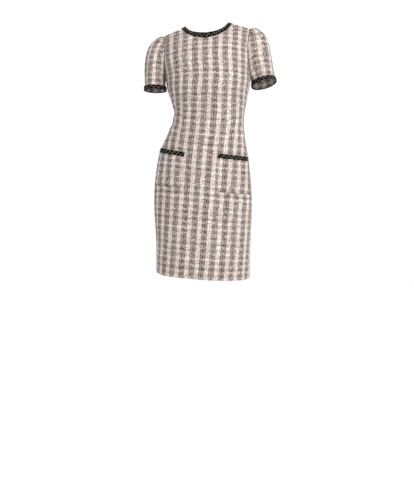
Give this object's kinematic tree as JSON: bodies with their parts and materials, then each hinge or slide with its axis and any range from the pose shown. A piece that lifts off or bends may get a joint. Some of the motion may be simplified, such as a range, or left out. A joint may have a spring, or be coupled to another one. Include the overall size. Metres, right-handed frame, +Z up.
{
  "type": "sheath dress",
  "caption": "Fitted knee-length sheath dress of checked tweed with short sleeves, a round neck, patch pockets, dark braid edging and a centre-back zip; it is worn.",
  "frame": {"origin": "midway between the two neck side points, where the shoulder seams start", "axes": "+Z up, +X to the viewer's right when the front is seen, the front faces -Y"},
  "size_m": [0.4837, 0.2692, 0.9375],
  "materials": {
    "tweed": "loose checked tweed",
    "braid": "dark plaited braid",
    "zip_tape": "woven tape",
    "zip_metal": "satin"
  },
  "bodies": {
    "dress": {"front": "tweed", "back_left": "tweed", "back_right": "tweed", "sleeve_left": "tweed", "sleeve_right": "tweed", "pocket_left": "tweed", "pocket_right": "tweed", "neck_trim": "braid", "cuff_trim_left": "braid", "cuff_trim_right": "braid", "pocket_trim_left": "braid", "pocket_trim_right": "braid", "zip_tape": "zip_tape", "zip_slider": "zip_metal"},
    "pull": {"zip_pull": "zip_metal"}
  },
  "joints": [
    {"name": "zip_pull_hinge", "type": "hinge", "parent": "dress", "child": "pull", "pos_m": [-0.00072, 0.06992, -0.03008], "axis": [0.9993, 0.0364, 0.0046], "range_deg": [0, 150]}
  ]
}
